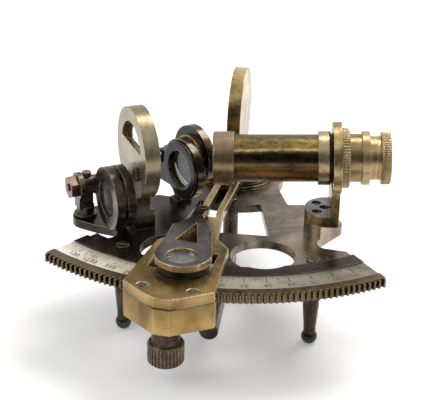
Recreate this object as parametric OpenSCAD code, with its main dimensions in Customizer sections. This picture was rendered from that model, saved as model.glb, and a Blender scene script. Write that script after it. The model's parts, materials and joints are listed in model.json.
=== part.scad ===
// Pocket sextant: index arm on a toothed arc, two mirrors, four shades, telescope and magnifier.
// Millimetres and degrees. The origin is under the rear foot, +Z is up and the arc points to -Y.
// Plan distances named _y are measured from the pivot towards the arc, those named _in from the arc inwards
// and those named _out from the arc outwards.

/* [Frame] */
// Radius of the arc at the tips of its teeth
arc_r = 86.1; // [84:0.1:92]
// Half of the arc's opening angle
arc_half = 37.2; // [36:0.6:42]
// Radial width of the raised limb
limb_w = 17.6; // [15:0.1:19]
// Radial width of the low lip inside the raised limb
lip_w = 3.9; // [2:0.1:5]
// Height of the limb's top above the table
limb_top = 29.7; // [24:0.1:40]
// Step from the limb's top down to the web
limb_step = 0.8; // [0.7:0.05:1.2]
// Thickness of the web
web_t = 2.8; // [2:0.1:4]
// Radius of the round apex at the pivot
hub_r = 16; // [14:0.1:18]
// Radius of the raised seat that carries the arm's hub
seat_r = 13; // [12:0.1:14]
// Distance from the pivot to the rear foot
pivot_y = 20; // [19:0.1:21]
// Diameter of the two round holes
hole_d = 20; // [14:0.1:21]
// Sideways distance of each round hole
hole_x = 14; // [13:0.1:16]
// Distance of the round holes inside the arc
hole_in = 27.8; // [26.1:0.1:30.1]
// Radius of the window's rounded end
window_r = 24.5; // [23.5:0.1:27]
// Distance of the window's straight end inside the arc
window_in = 41.1; // [40.1:0.1:46.1]
// Width of the window at its straight end
window_w = 29.4; // [24:0.1:31]
// Half width of the frame's side where it leaves the apex
side_x = 16.1; // [15:0.1:18]
// Distance of that place
side_y = 12.8; // [11:0.1:15]
// Half width of the frame's waist
waist_x = 19; // [18:0.1:21]
// Distance of the waist
waist_y = 21.3; // [21:0.1:23]
// Half width of the frame's shoulders
shoulder_x = 24.3; // [23:0.1:28]
// Distance of the shoulders
shoulder_y = 20.5; // [19:0.1:21]
// Sideways place of the right tab, under the telescope
tab_x = 32.2; // [31.5:0.1:34.5]
// Distance of the right tab inside the arc
tab_in = 52.8; // [51.8:0.1:53.8]
// Sideways place of the left tab, under the horizon shades
far_tab_x = 44.3; // [43:0.1:46]
// Distance of the left tab inside the arc
far_tab_in = 47.2; // [46.1:0.1:48.1]
// Radius of both tab ends
tab_r = 5.2; // [5:0.1:6]
// Radius of the notches beside the limb
notch_r = 3.7; // [2.5:0.1:4]
// Sideways place of the right notch
notch_x = 33.6; // [33.1:0.1:35.6]
// Distance of the right notch inside the arc
notch_in = 38.9; // [38.1:0.1:40.1]
// Sideways place of the left notch
far_notch_x = 36.4; // [36:0.1:38]
// Distance of the left notch inside the arc
far_notch_in = 35.3; // [35.1:0.1:37.1]
// Height of the bosses for the telescope and the horizon mirror over the limb
boss_h = 3.6; // [2:0.1:5]

/* [Scale] */
// Radial width of the plain rim between scale and teeth
rim_w = 4.2; // [3.5:0.1:6]
// Radial width of the scale strip
scale_w = 7.9; // [5:0.1:8.5]
// Depth of its channel
scale_deep = 0.9; // [0.7:0.05:1.2]
// Thickness of the strip
scale_t = 0.6; // [0.4:0.05:0.65]
// Depth of its engraved lines
line_deep = 0.12; // [0.05:0.01:0.2]
// Width of the long engraved lines
line_wide = 0.24; // [0.15:0.01:0.4]
// Angle between the long engraved lines
line_step = 5; // [2.5:0.5:10]

/* [Teeth] */
// Teeth that a full circle would hold
circle_teeth = 300; // [240:1:360]
// Teeth on the pinion
pinion_teeth = 12; // [11:1:14]
// Height of a limb tooth
tooth_h = 1.4; // [1.3:0.05:1.5]
// Height of the teeth's underside over the limb's
tooth_rise = 0.9; // [0.3:0.05:1.2]
// Radial width of the step behind the teeth
tooth_step = 0.6; // [0.3:0.05:1]

/* [Legs and handle] */
// Diameter of the legs
leg_d = 5.06; // [4:0.02:6]
// Diameter of the front legs' necks
neck_d = 3.85; // [3:0.05:4]
// Radial step of the rear leg's neck
neck_step = 0.35; // [0.1:0.05:0.6]
// Height of the necks over the feet's balls
neck_h = 3.4; // [2:0.1:5]
// Sideways place of the front legs
leg_x = 29.5; // [28:0.1:31]
// Distance of the front legs inside the arc
leg_in = 27.2; // [26.1:0.1:29.1]
// Height where the front legs start to taper
taper_z = 13; // [10:0.1:18]
// Flat cut off the bottom of each foot
foot_flat = 0.35; // [0.2:0.05:0.6]
// Shank radius of the leg screws
screw_r = 1.1; // [0.8:0.05:1.3]
// Head radius of the leg screws
head_r = 2.1; // [1.8:0.05:2.4]
// Head height of the leg screws
head_h = 0.65; // [0.5:0.05:0.7]
// Depth that the leg screws reach into a leg
screw_deep = 6; // [4:0.1:8]
// Diameter of the handle bar
bar_d = 5.8; // [4:0.1:7]
// Height of the handle bar's centre
bar_z = 12.5; // [9:0.1:14]
// Distance of the bar's free end inside the arc
bar_in = 8.1; // [6.1:0.1:14.1]
// Diameter of the handle's front post
post_d = 5; // [4:0.1:5.5]
// Distance of that post inside the arc
post_in = 24.7; // [24.1:0.1:26.1]

/* [Index arm] */
// Angle of the arm from the centre of the arc
arm_rest = -6.8; // [-12:0.1:20]
// Gap between the limb and the arm
arm_gap = 0.3; // [0.2:0.05:0.5]
// Thickness of the arm
arm_t = 2.7; // [2:0.1:3.5]
// Radius of the arm's hub
arm_hub_r = 11.5; // [10:0.1:12.5]
// Half width of the arm's bar
bar_half = 3.8; // [3.2:0.1:4.2]
// Width of each rail beside the slot
rail_w = 2.1; // [1.2:0.1:2.5]
// Distance where the slot starts
slot_from = 16; // [15:0.1:20]
// Distance inside the arc where the bar starts to widen
flare_in = 48.1; // [46.1:0.1:52.1]
// Distance inside the arc where the slot ends
slot_in = 44.1; // [42.1:0.1:46.1]
// Distance of the window plate's rear edge inside the arc
plate_in = 29.6; // [28.1:0.1:31.1]
// Half width of that edge
plate_half = 6.7; // [6:0.1:8]
// Distance of the rear corners inside the arc
corner_in = 24.1; // [22.1:0.1:26.1]
// Half width at the rear corners
corner_half = 11.3; // [10.5:0.1:12]
// Distance of the shoulders at the nose outside the arc
nose_out = 2.9; // [1.4:0.1:3.9]
// Half width at those shoulders
nose_half = 13.7; // [12:0.1:14.5]
// Distance of the nose's tip outside the arc
tip_out = 10.9; // [9.9:0.1:12.9]
// Half width of the flat on the nose
tip_half = 2.4; // [1.5:0.1:3]
// Distance of the window's near edge inside the arc
pane_in = 20.1; // [18.1:0.1:21.1]
// Distance of the window's far edge inside the arc
pane_rim = 7.1; // [5.1:0.1:10.1]
// Half width of the window
pane_half = 9.2; // [8:0.1:9.6]
// Height of the lower block
block_h = 8.4; // [7:0.1:10]
// Gap between the limb's teeth and the block
block_gap = 0.9; // [0.5:0.05:1.5]
// Distance inside the arc where the block's ledge under the limb starts
ledge_in = 10.1; // [6.1:0.1:12.1]
// Thickness of that ledge
ledge_t = 4.4; // [3:0.1:4.6]
// Distance of the two plate screws outside the arc
plate_screw_out = 4.1; // [2.9:0.1:4.9]
// Place of the two plate screws, across the arm
plate_screw_x = 7.5; // [6.5:0.1:8.5]
// Radius of the pivot pin
pin_r = 2.45; // [2:0.05:3]
// Radial width of the pin's head
pin_lip = 0.5; // [0.3:0.05:0.55]
// Radius of the washer below the frame
washer_r = 5; // [4.5:0.1:6]
// Thickness of that washer
washer_t = 0.6; // [0.4:0.05:1]
// Width of the pivot's nut across its flats
pivot_nut_w = 8; // [7:0.1:9]
// Thickness of that nut
pivot_nut_t = 2.3; // [1.8:0.1:3]
// Radial width of the vernier
vernier_w = 3.8; // [3:0.1:4]
// Angle between its engraved lines
vernier_step = 1.08; // [0.9:0.01:1.2]

/* [Drive knob] */
// Angle of the knob's axis from the arm's centre
knob_a = -0.5; // [-1:0.1:1]
// Diameter of the knob
knob_d = 11; // [9:0.1:13]
// Height of the knob
knob_h = 6.9; // [5:0.1:8]
// Diameter of the neck above it
knob_neck_d = 8.5; // [6:0.1:9]
// Length of the neck
knob_neck_h = 6.4; // [4:0.1:8]
// Radius of the knob's shaft
shaft_r = 1.5; // [1:0.05:1.7]
// Number of flutes round the knob
flutes = 30; // [20:1:36]

/* [Magnifier] */
// Height of its underside over the arm
lift = 2.7; // [2.6:0.1:4]
// Thickness of its plate
loupe_t = 2; // [1.6:0.1:3]
// Distance of its pivot inside the arc
loupe_pivot_in = 39.9; // [39.1:0.1:41.1]
// Sideways place of its pivot
loupe_pivot_x = -1.2; // [-1.6:0.1:-0.8]
// Radius of its pivot's shank
loupe_pin_r = 1.25; // [1:0.05:1.5]
// Radius of its pivot's head
loupe_head_r = 1.9; // [1.6:0.05:2.1]
// Radial width of the ledge that holds its lens
lens_ledge = 0.7; // [0.5:0.05:1]
// Thickness of that ledge in the black cell
cell_back = 0.8; // [0.5:0.05:1]
// Distance of its lens inside the arc
lens_in = 7.7; // [7.1:0.1:9.1]
// Sideways place of its lens
lens_x = 1; // [0:0.1:1.5]
// Radius of its round end
loupe_r = 8.5; // [8:0.1:9]
// Distance of that end's centre behind the lens
loupe_back = 1.7; // [0.5:0.1:2]
// Radius of its opening
lens_open = 4.75; // [4:0.05:5.2]
// Radius of the black cell below it
cell_r = 7.8; // [7:0.1:8.4]

/* [Mirrors] */
// Radius of the index mirror's frame
index_r = 15.6; // [13:0.1:16]
// Thickness of that frame
index_t = 4.3; // [3.6:0.1:6]
// Height of its centre
index_z = 51.8; // [51.5:0.1:60]
// Direction that its back faces, from +X
index_az = -1.4; // [-5:0.1:5]
// Radius of the index mirror
index_glass_r = 12.6; // [9:0.1:12.8]
// Sideways place of the horizon mirror
horizon_x = -27.05; // [-27.5:0.05:-26.5]
// Distance of the horizon mirror inside the arc
horizon_in = 43.1; // [42.6:0.1:43.6]
// Height of its centre
horizon_z = 54.1; // [53:0.1:60]
// Direction that its back faces
horizon_az = 208; // [206:0.5:210]
// Radius of the horizon mirror's frame
horizon_r = 14.5; // [12:0.1:15]
// Thickness of that frame
horizon_t = 4.8; // [4:0.1:5]
// Radius of its clear opening
clear_r = 10; // [8:0.1:10.5]
// Height of the opening's straight edge over the centre
clear_z = 2.6; // [1:0.1:4]
// Thickness of both mirrors
mirror_t = 1.4; // [1:0.1:1.8]
// Depth of the index mirror behind its frame's face
mirror_deep = 0.2; // [0.1:0.05:0.4]
// Thickness of the horizon frame's wall in front of its glass
mirror_wall = 1.6; // [1:0.05:2.4]
// Radial width of the ledge behind the horizon mirror
mirror_ledge = 0.8; // [0.5:0.1:1.2]
// Width of the horizon frame's foot
horizon_foot_w = 8; // [7:0.1:9]
// Thickness of that foot
horizon_foot_t = 2.2; // [1.5:0.1:3]
// Length of that foot in front of the frame
horizon_foot_len = 1.6; // [1.2:0.1:2.4]
// Sideways distance of its two screws
horizon_screw_y = 2.2; // [1.8:0.1:2.6]
// Radius of the adjusting screw's head
adjuster_r = 2.2; // [1.6:0.1:2.6]
// Shank radius of the adjusting screw
adjuster_pin_r = 0.8; // [0.6:0.05:1.1]
// Sideways place of the adjusting screw
adjuster_y = 6; // [4:0.1:7]
// Depth of the adjusting screw below the frame's centre
adjuster_z = 4.8; // [3:0.1:6]
// Half width of the index frame's foot
index_foot_half = 6; // [5:0.1:7]
// Length of that foot on each side
index_foot_len = 3.8; // [3.2:0.1:5]
// Thickness of that foot
index_foot_t = 1.9; // [1.2:0.1:3]

/* [Shades] */
// Radius of a shade ring
ring_r = 10; // [9:0.1:10.5]
// Radius of its opening
ring_open = 6.1; // [5.6:0.1:7.3]
// Distance from the bolt to a ring's centre
swing = 12.1; // [11.6:0.1:12.6]
// Radius of a ring's ear
ear_r = 2.9; // [2.6:0.1:3.5]
// Thickness of the horizon rings
far_ring_t = 2.6; // [2:0.1:2.8]
// Distance between the two horizon rings
far_pitch = 3.8; // [3.5:0.1:3.9]
// Sideways place of the horizon rings' bolt
far_bolt_x = -42; // [-42.5:0.1:-41.8]
// Distance of the horizon rings' bolt inside the arc
far_bolt_in = 49.4; // [49.1:0.1:49.6]
// Height of the horizon rings' bolt
far_bolt_z = 39.4; // [39.4:0.1:41]
// Direction of that bolt
far_az = 212; // [211:0.5:213]
// Thickness of the index rings
near_ring_t = 2.6; // [2.2:0.1:2.7]
// Distance between the two index rings
near_pitch = 4.3; // [4.2:0.1:6]
// Sideways place of the index rings' bolt
near_bolt_x = -22.6; // [-23.5:0.1:-22]
// Distance of the index rings' bolt
near_bolt_y = 20.1; // [20:0.1:20.6]
// Height of the index rings' bolt
near_bolt_z = 43.2; // [43.2:0.1:45]
// Direction of that bolt
near_az = 222; // [221:0.5:223]
// Angle that the inner index ring is swung up
raised = 17; // [0:1:60]
// Radius of both bolts
bolt_r = 1.2; // [0.8:0.05:1.5]
// Radius of the bolts' heads
bolt_head_r = 2; // [1.8:0.1:2.4]
// Thickness of the bolts' heads
bolt_head_t = 1.2; // [0.8:0.1:1.6]
// Thickness of the dark glasses
shade_t = 1.1; // [0.8:0.05:1.2]
// Radial width of the ledge that holds a glass
glass_ledge = 0.7; // [0.4:0.05:1]
// Thickness of that ledge
glass_back = 1; // [0.6:0.05:1.1]
// Length of the outer index ring's tongue below the bolt
tongue = 8.2; // [6:0.1:9]
// Radial step from the outer index ring's edge to its bezel
bezel_step = 0.6; // [0.3:0.05:1.5]
// Thickness of that bezel
bezel_t = 0.9; // [0.6:0.05:1.2]
// Radial width of the cell on the inner index ring
cell_w = 1.1; // [0.8:0.05:1.6]
// Height of that cell
cell_h = 1.3; // [0.8:0.05:1.4]
// Distance of the horizon bolt's stand behind the outer ring
stand_x = 4; // [3.8:0.05:4.3]
// Radius of that stand's stem
stem_r = 1.5; // [1:0.1:2]
// Radius of that stand's foot
stand_foot_r = 3.7; // [3.2:0.1:4]
// Half width of that stand's upright
stand_half = 2.4; // [1.8:0.1:2.8]
// Radius of the barrel round the horizon bolt
barrel_r = 3.2; // [2.6:0.1:3.6]
// Length of that barrel
barrel_len = 3.7; // [3:0.1:4.5]
// Radius of the collar behind it
ear_collar_r = 4.4; // [3.8:0.1:4.8]
// Thickness of that collar
ear_collar_t = 1.6; // [1:0.1:2]
// Radius of the head of the stop screw in the barrel
stop_r = 1.5; // [1.2:0.05:1.8]
// Height of that head
stop_h = 1.3; // [0.8:0.05:2]
// Width of the nut across its flats
nut_w = 6.6; // [5.5:0.1:7.5]
// Thickness of the nut
nut_t = 2.7; // [2:0.1:3.2]
// Near edge of the index bracket's foot, across the bolt
flange_from = 4.4; // [4:0.1:5]
// Far edge of that foot
flange_to = 9; // [8.5:0.1:9.2]
// Thickness of that foot
flange_t = 1.4; // [1:0.1:2]
// Depth below the bolt where the bracket's back starts to slope
back_drop = 4.5; // [3.5:0.1:5.5]
// Height over the frame where its front starts to slope
front_rise = 8; // [7:0.1:9]
// Height of its front edge over the frame
front_edge = 3; // [2.5:0.1:4]
// Length of its foot beyond each side
flange_side = 2.2; // [1.8:0.1:2.3]

/* [Telescope] */
// Sideways place of the ring that carries the telescope
scope_x = 34.3; // [34:0.1:36]
// Distance inside the arc of the ring that carries the telescope
scope_in = 48.7; // [48.1:0.1:49.1]
// Height of the telescope's axis
scope_z = 53.9; // [53:0.1:60]
// Direction of the telescope's axis, from +X
scope_az = 5.1; // [0:0.1:12]
// Angle that its eyepiece end is raised
scope_tilt = 1.9; // [0:0.1:3]
// Outer radius of the main tube
tube_r = 7.4; // [7.2:0.05:7.5]
// Outer radius of the tube in and behind its ring
seat_tube_r = 7.55; // [7.5:0.05:8]
// Bore radius of the tube
bore_r = 6.85; // [6:0.05:6.9]
// Length of the main tube in front of its ring
tube_len = 33.4; // [28:0.1:36]
// Radius of the objective's ring
objective_r = 8.35; // [8:0.05:9]
// Length of the objective's ring
objective_len = 6.4; // [4:0.1:8]
// Wall of that ring in front of the tube
objective_wall = 1.65; // [1.2:0.05:2]
// Radial width of the lip that holds the objective
objective_lip = 0.6; // [0.4:0.05:1]
// Thickness of that lip
objective_lip_t = 1; // [0.6:0.1:2]
// Thickness of the objective
objective_t = 2.6; // [2:0.1:3.5]
// Radius of the objective's front curve
objective_curve = 40; // [30:1:120]
// Length that the ring overlaps the tube
objective_lap = 1.5; // [1:0.1:2]
// Radius of the carrying ring
carrier_r = 11.3; // [10:0.1:13]
// Thickness of the carrying ring and its upright
carrier_t = 2.7; // [2:0.1:3.5]
// Radius of the lock ring
lock_r = 9.35; // [8.5:0.05:10]
// Length of the lock ring
lock_len = 2.45; // [1.5:0.05:3]
// Length of tube that shows behind the lock ring
tail_len = 3.75; // [2:0.05:5]
// Length of the end collar
collar_len = 2.4; // [1.5:0.1:4]
// Radius of the draw tube
draw_r = 6.8; // [5.9:0.05:6.85]
// Wall of the draw tube
draw_wall = 0.7; // [0.5:0.05:1]
// Length of draw tube that shows
draw_show = 3.5; // [3:0.1:6]
// Length of draw tube inside the main tube
draw_inside = 18; // [12:0.1:22]
// Radius of the eyepiece
eye_r = 8.2; // [7.5:0.05:9]
// Length of the eyepiece
eye_len = 3; // [2.8:0.1:5]
// Width of the bracket's foot
foot_w = 15; // [13:0.1:15.5]
// Length of the bracket's foot in front of its upright
foot_len = 7.75; // [7.4:0.05:9]
// Thickness of the bracket's foot
foot_t = 3.5; // [2.5:0.1:5]
// Distance of the foot's two outer screws in front of the upright's middle
foot_pair_x = 5.4; // [5:0.1:6.4]
// Sideways distance of those two screws
foot_pair_y = 3.15; // [2.5:0.05:4]
// Distance of the foot's third screw
foot_mid_x = 2.9; // [2.9:0.1:3.3]
// Length of the belt in front of the carrying ring
belt_len = 3.8; // [2:0.1:5]
// Distance of that belt from the ring's middle
belt_from = 2.05; // [1.9:0.05:3]
// Height of the belt over the tube
belt_h = 1; // [0.5:0.1:1.5]
// Height of the end collar over the tube
collar_h = 0.8; // [0.5:0.1:1.2]
// Inner radius of the eyepiece
eye_hole_r = 3; // [2:0.1:4]

/* [Small screws] */
// Shank radius of the small foot screws
foot_screw_r = 1.1; // [0.8:0.05:1.3]
// Head radius of the bracket's screws
foot_head_r = 1.55; // [1.4:0.05:1.8]
// Depth that those heads are sunk
foot_sink = 1.6; // [1:0.1:2]
// Shank radius of the index mirror's screws
index_screw_r = 0.9; // [0.7:0.05:1.1]
// Head radius of those screws
index_head_r = 1.6; // [1.3:0.05:1.8]
// Head radius of the arm's two screws
arm_head_r = 1.7; // [1.5:0.05:2]
// Length of the arm's two screws below the arm
arm_screw_deep = 4.6; // [3:0.1:6]
// Width of a screw's slot
slot_w = 0.4; // [0.3:0.05:0.6]

/* [Fits] */
// Radial clearance of running fits
run = 0.05; // [0.02:0.01:0.08]
// Clearance between seated pieces
seat = 0.02; // [0.01:0.01:0.04]
// Side clearance between moving faces
side_gap = 0.2; // [0.15:0.05:0.25]

/* [Hidden] */
$fn = 64;
web_top = limb_top - limb_step;
web_bottom = web_top - web_t;
limb_in = arc_r - limb_w;
hole_y = arc_r - hole_in;
window_y = arc_r - window_in;
tab_y = arc_r - tab_in;
far_tab_y = arc_r - far_tab_in;
notch_y = arc_r - notch_in;
far_notch_y = arc_r - far_notch_in;
leg_y = arc_r - leg_in;
bar_y = arc_r - bar_in;
post_y = arc_r - post_in;
flare_y = arc_r - flare_in;
slot_to = arc_r - slot_in;
plate_y = arc_r - plate_in;
corner_y = arc_r - corner_in;
nose_y = arc_r + nose_out;
tip_y = arc_r + tip_out;
pane_from = arc_r - pane_in;
pane_to = arc_r - pane_rim;
ledge_y = arc_r - ledge_in;
plate_screw_y = arc_r + plate_screw_out;
loupe_pivot_y = arc_r - loupe_pivot_in;
lens_y = arc_r - lens_in;
horizon_y = arc_r - horizon_in;
far_bolt_y = arc_r - far_bolt_in;
scope_y = arc_r - scope_in;
lip_in = limb_in - lip_w;
scale_out = arc_r - rim_w;
scale_in = scale_out - scale_w;
tooth_pitch = 360 / circle_teeth;
half_teeth = floor(arc_half / tooth_pitch);
gear_module = 2 * (arc_r - 0.57) / circle_teeth;
root_r = arc_r - tooth_h;
pinion_y = gear_module * (circle_teeth + pinion_teeth) / 2;
pinion_pitch_r = gear_module * pinion_teeth / 2;
boss_top = limb_top + boss_h;
arm_z = limb_top + arm_gap;
arm_top = arm_z + arm_t;
block_top = limb_top - arm_gap;
block_z = block_top - block_h;
block_y = arc_r + block_gap;
ledge_top = min(block_z + ledge_t, web_bottom - arm_gap);
knob_z = block_z - knob_neck_h - knob_h - 0.1;
leg_r = leg_d / 2;
bar_r = bar_d / 2;
vernier_out = scale_in - 0.2;
loupe_z = arm_top + lift;
loupe_top = loupe_z + loupe_t;
cell_z = arm_top + arm_gap;
draw_from = carrier_t / 2 + lock_len + tail_len + collar_len;
eye_from = draw_from + draw_show;
foot_top = boss_top + seat + foot_t;
upright_top = scope_z - sqrt(pow(carrier_r, 2) - pow(foot_w / 2, 2)) + 0.6;
pin_z = web_bottom - washer_t - pivot_nut_t - 0.5;
lens_seat_r = objective_r - objective_wall;
far_face = far_ring_t / 2 + side_gap;
far_stop = far_face + barrel_len;
far_outer = far_pitch + far_ring_t / 2;
far_drop = far_bolt_z - web_top;
near_back = -near_ring_t / 2 - side_gap;
near_front = -near_pitch + near_ring_t / 2 + side_gap;
near_outer = near_pitch + near_ring_t / 2;
near_drop = near_bolt_z - web_top;
rest_tooth = tooth_pitch / 2;
pinion_turn = 180 / pinion_teeth + (arm_rest + knob_a - rest_tooth) * circle_teeth / pinion_teeth;

bronze = [0.36, 0.32, 0.24];
brass = [0.72, 0.6, 0.34];
pale = [0.76, 0.72, 0.6];
patina = [0.55, 0.42, 0.22];
copper = [0.66, 0.42, 0.3];
silver = [0.78, 0.78, 0.7];
black = [0.1, 0.1, 0.1];
smoke = [0.45, 0.47, 0.48];
glass = [0.75, 0.8, 0.82];
steel = [0.5, 0.48, 0.44];

// Plan point at radius r and angle a from the arc's middle
function polar(r, a) = [r * sin(a), -r * cos(a)];
// Points on an arc round c, from angle a0 to a1
function arc_points(c, r, a0, a1, n) = [
    for (i = [0:n])
        let (a = a0 + (a1 - a0) * i / n)
        c + r * [cos(a), sin(a)]
];
function flip(points) = [for (i = [len(points) - 1:-1:0]) points[i]];
function mirrored(points) = [for (p = flip(points)) [-p[0], p[1]]];
// Outline of the teeth from the left end of the arc to its right end
function tooth_points() = [
    for (k = [-half_teeth:half_teeth - 1])
        let (a = (k + 0.5) * tooth_pitch)
        let (wide = 0.88 * gear_module / root_r, narrow = 0.42 * gear_module / arc_r)
        each [
            polar(root_r, a - wide * 180 / PI), polar(arc_r, a - narrow * 180 / PI),
            polar(arc_r, a + narrow * 180 / PI), polar(root_r, a + wide * 180 / PI)
        ]
];

module at_pivot() translate([0, pivot_y, 0]) children();
module at_arm() at_pivot() rotate([0, 0, arm_rest]) children();
module at_knob() at_pivot() rotate([0, 0, arm_rest + knob_a]) translate([0, -pinion_y, 0]) children();
module at_plan(x, y, z = 0) at_pivot() translate([x, -y, z]) children();
module ring(r_out, r_in, z, h) {
    translate([0, 0, z]) difference() {
        cylinder(r = r_out, h = h);
        translate([0, 0, -1]) cylinder(r = r_in, h = h + 2);
    }
}
module disc(r, z, h) translate([0, 0, z]) cylinder(r = r, h = h);
// Cylinder along X, from x0 to x1
module rod(r, x0, x1) translate([x0, 0, 0]) rotate([0, 90, 0]) cylinder(r = r, h = x1 - x0);
// Solid of revolution about X from points [x, r]
module turned(points) rotate([0, 90, 0]) rotate_extrude() polygon([for (p = points) [p[1], p[0]]]);
module slab(points, z, h) translate([0, 0, z]) linear_extrude(h) polygon(points);
module hex(width, z, h) translate([0, 0, z]) cylinder(r = width / sqrt(3), h = h, $fn = 6);
module slotted(r, z, h, slot = 0.5) {
    difference() {
        disc(r, z, h);
        translate([-r - 1, -slot / 2, z + h * 0.5]) cube([2 * r + 2, slot, h]);
    }
}

// Frame

module sector(r_out, r_in, z, h, half) {
    intersection() {
        ring(r_out, r_in, z, h);
        slab(concat([[0, 0]], [for (i = [-4:4]) polar(1.3 * arc_r, i * half / 4)]), z, h);
    }
}
function right_side() = concat(
    [polar(hub_r - 1, 70), [side_x, -side_y], [waist_x, -waist_y], [shoulder_x, -shoulder_y]],
    arc_points([tab_x, -tab_y], tab_r, 60, -45, 6),
    arc_points([notch_x, -notch_y], notch_r, 125, 275, 8),
    [polar(lip_in + 0.4, arc_half)]
);
function left_side() = concat(
    [polar(hub_r - 1, -70), [-side_x, -side_y], [-waist_x, -waist_y], [-shoulder_x, -shoulder_y]],
    arc_points([-far_tab_x, -far_tab_y], tab_r, 133, 245, 6),
    [[-far_notch_x - 3.7, -far_notch_y + notch_r + 0.9]],
    arc_points([-far_notch_x, -far_notch_y], notch_r, 60, -95, 8),
    [polar(lip_in + 0.4, -arc_half)]
);
module web_outline() {
    polygon(concat(
        right_side(),
        [for (i = [12:-1:-12]) polar(lip_in + 1, i * arc_half / 12 * 0.98)],
        flip(left_side())
    ));
}
module scope_foot(w, z, h) {
    at_scope() intersection() {
        translate([-carrier_t / 2 - foot_len, -w / 2, z]) cube([foot_len + carrier_t, w, h]);
        translate([-carrier_t / 2 - foot_len + w / 2, 0, z]) {
            cylinder(r = w / 2, h = h);
            translate([0, -w / 2, 0]) cube([foot_len + carrier_t, w, h]);
        }
    }
}
module window() {
    half = window_w / 2;
    near = half - (window_y - window_r + 2.5) * 0.205;
    difference() {
        slab([[-near, -window_r + 2.5], [near, -window_r + 2.5], [half, -window_y], [-half, -window_y]],
            web_bottom - 1, web_t + 2);
        disc(window_r, web_bottom - 2, web_t + 4);
    }
}
module frame_plate() color(bronze) {
    difference() {
        union() {
            at_pivot() {
                disc(hub_r, web_bottom, web_t);
                disc(seat_r, web_bottom, arm_z - 0.1 - web_bottom);
                translate([0, 0, web_bottom]) linear_extrude(web_t) web_outline();
                sector(limb_in + 1, lip_in, web_bottom, web_t, arc_half);
                difference() {
                    slab(
                        concat([[0, 0], polar(root_r, -arc_half)], tooth_points(), [polar(root_r, arc_half)]),
                        web_bottom, limb_top - web_bottom
                    );
                    disc(limb_in, web_bottom - 1, limb_top - web_bottom + 2);
                }
            }
            intersection() {
                scope_foot(foot_w, web_top - 1, boss_top - web_top + 1);
                at_pivot() translate([0, 0, web_top - 1]) linear_extrude(boss_h + 5) web_outline();
            }
            at_horizon() horizon_foot(web_top - 1, boss_top - web_top + 1);
        }
        at_pivot() {
            disc(pin_r + run, 0, 2 * limb_top);
            for (side = [-1, 1]) translate([side * hole_x, -hole_y, 0]) disc(hole_d / 2, 0, 2 * limb_top);
            window();
            ring(scale_out, scale_in, limb_top - scale_deep, scale_deep + 1);
            ring(arc_r + 1, root_r - tooth_step, web_bottom - 1, tooth_rise + 1);
        }
        leg_places() disc(screw_r + seat, web_bottom - 1, web_t + 2);
        handle_place() disc(screw_r + seat, web_bottom - 1, web_t + 2);
        foot_holes() disc(foot_screw_r + seat, web_bottom - 1, boss_top);
        at_horizon() horizon_holes() disc(foot_screw_r + seat, web_bottom - 1, boss_top);
        at_far_stand() disc(stem_r + seat, web_bottom - 1, web_t + 2);
        at_near() near_holes() disc(foot_screw_r + seat, web_bottom - near_bolt_z - 1, web_t + 2);
    }
}
module arc_scale() color(silver) at_pivot() {
    difference() {
        sector(scale_out - run, scale_in + run, limb_top - scale_deep + seat, scale_t, arc_half - 0.1);
        top = limb_top - scale_deep + seat + scale_t;
        for (k = [-7:6])
            rotate([0, 0, (k + 0.5) * line_step])
                translate([-line_wide / 2, -scale_in - 4.5, top - line_deep]) cube([line_wide, 4, 1]);
    }
}

// Legs and handle

module leg_places() {
    for (side = [-1, 1]) at_plan(side * leg_x, leg_y) children();
    children();
}
module handle_place() at_plan(0, post_y) children();
module leg(narrow) {
    ball_z = leg_r - foot_flat;
    intersection() {
        translate([0, 0, ball_z]) sphere(r = leg_r);
        disc(leg_d, 0, leg_d);
    }
    difference() {
        rotate_extrude() polygon([
            [0, ball_z + 1], [narrow, ball_z + 1], [narrow, ball_z + neck_h],
            [leg_r, taper_z], [leg_r, web_bottom - seat], [0, web_bottom - seat]
        ]);
        disc(screw_r + seat, web_bottom - screw_deep, screw_deep + 1);
    }
}
module leg_front_left() color(bronze) at_plan(-leg_x, leg_y) leg(neck_d / 2);
module leg_front_right() color(bronze) at_plan(leg_x, leg_y) leg(neck_d / 2);
module leg_rear() color(bronze) leg(leg_r - neck_step);
module leg_screw() {
    disc(screw_r, web_bottom - screw_deep + 0.5, screw_deep - 0.5 + web_t + 0.1);
    slotted(head_r, web_top + seat, head_h);
}
module leg_screws() color(steel) {
    leg_places() leg_screw();
    handle_place() leg_screw();
}
module handle_bar() color(bronze) {
    difference() {
        translate([0, pivot_y - bar_y, bar_z]) rotate([-90, 0, 0])
            cylinder(r = bar_r, h = bar_y - pivot_y - leg_r + 1);
        disc(leg_r + seat, 0, web_bottom);
    }
}
module handle_post() color(bronze) handle_place() {
    difference() {
        disc(post_d / 2, bar_z, web_bottom - seat - bar_z);
        translate([0, -post_d, bar_z]) rotate([-90, 0, 0]) cylinder(r = bar_r + seat, h = 2 * post_d);
        disc(screw_r + seat, web_bottom - screw_deep, screw_deep + 1);
    }
}

// Telescope and its bracket

module at_scope() at_plan(scope_x, scope_y) rotate([0, 0, scope_az]) children();
module scope_axis() at_scope() translate([0, 0, scope_z]) rotate([0, -scope_tilt, 0]) children();
module foot_holes() {
    at_scope() {
        for (side = [-1, 1]) translate([-foot_pair_x, side * foot_pair_y, 0]) children();
        translate([-foot_mid_x, 0, 0]) children();
    }
}
module telescope_bracket() color(brass) {
    difference() {
        union() {
            scope_foot(foot_w, boss_top + seat, foot_t);
            scope_axis() rod(carrier_r, -carrier_t / 2, carrier_t / 2);
            at_scope() translate([-carrier_t / 2, -foot_w / 2, foot_top - 1])
                cube([carrier_t, foot_w, upright_top - foot_top + 1]);
        }
        scope_axis() rod(seat_tube_r + seat, -carrier_t, carrier_t);
        foot_holes() {
            disc(foot_screw_r + seat, boss_top - 1, foot_t + 2);
            disc(foot_head_r + seat, foot_top - foot_sink, foot_sink + 1);
        }
    }
}
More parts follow.
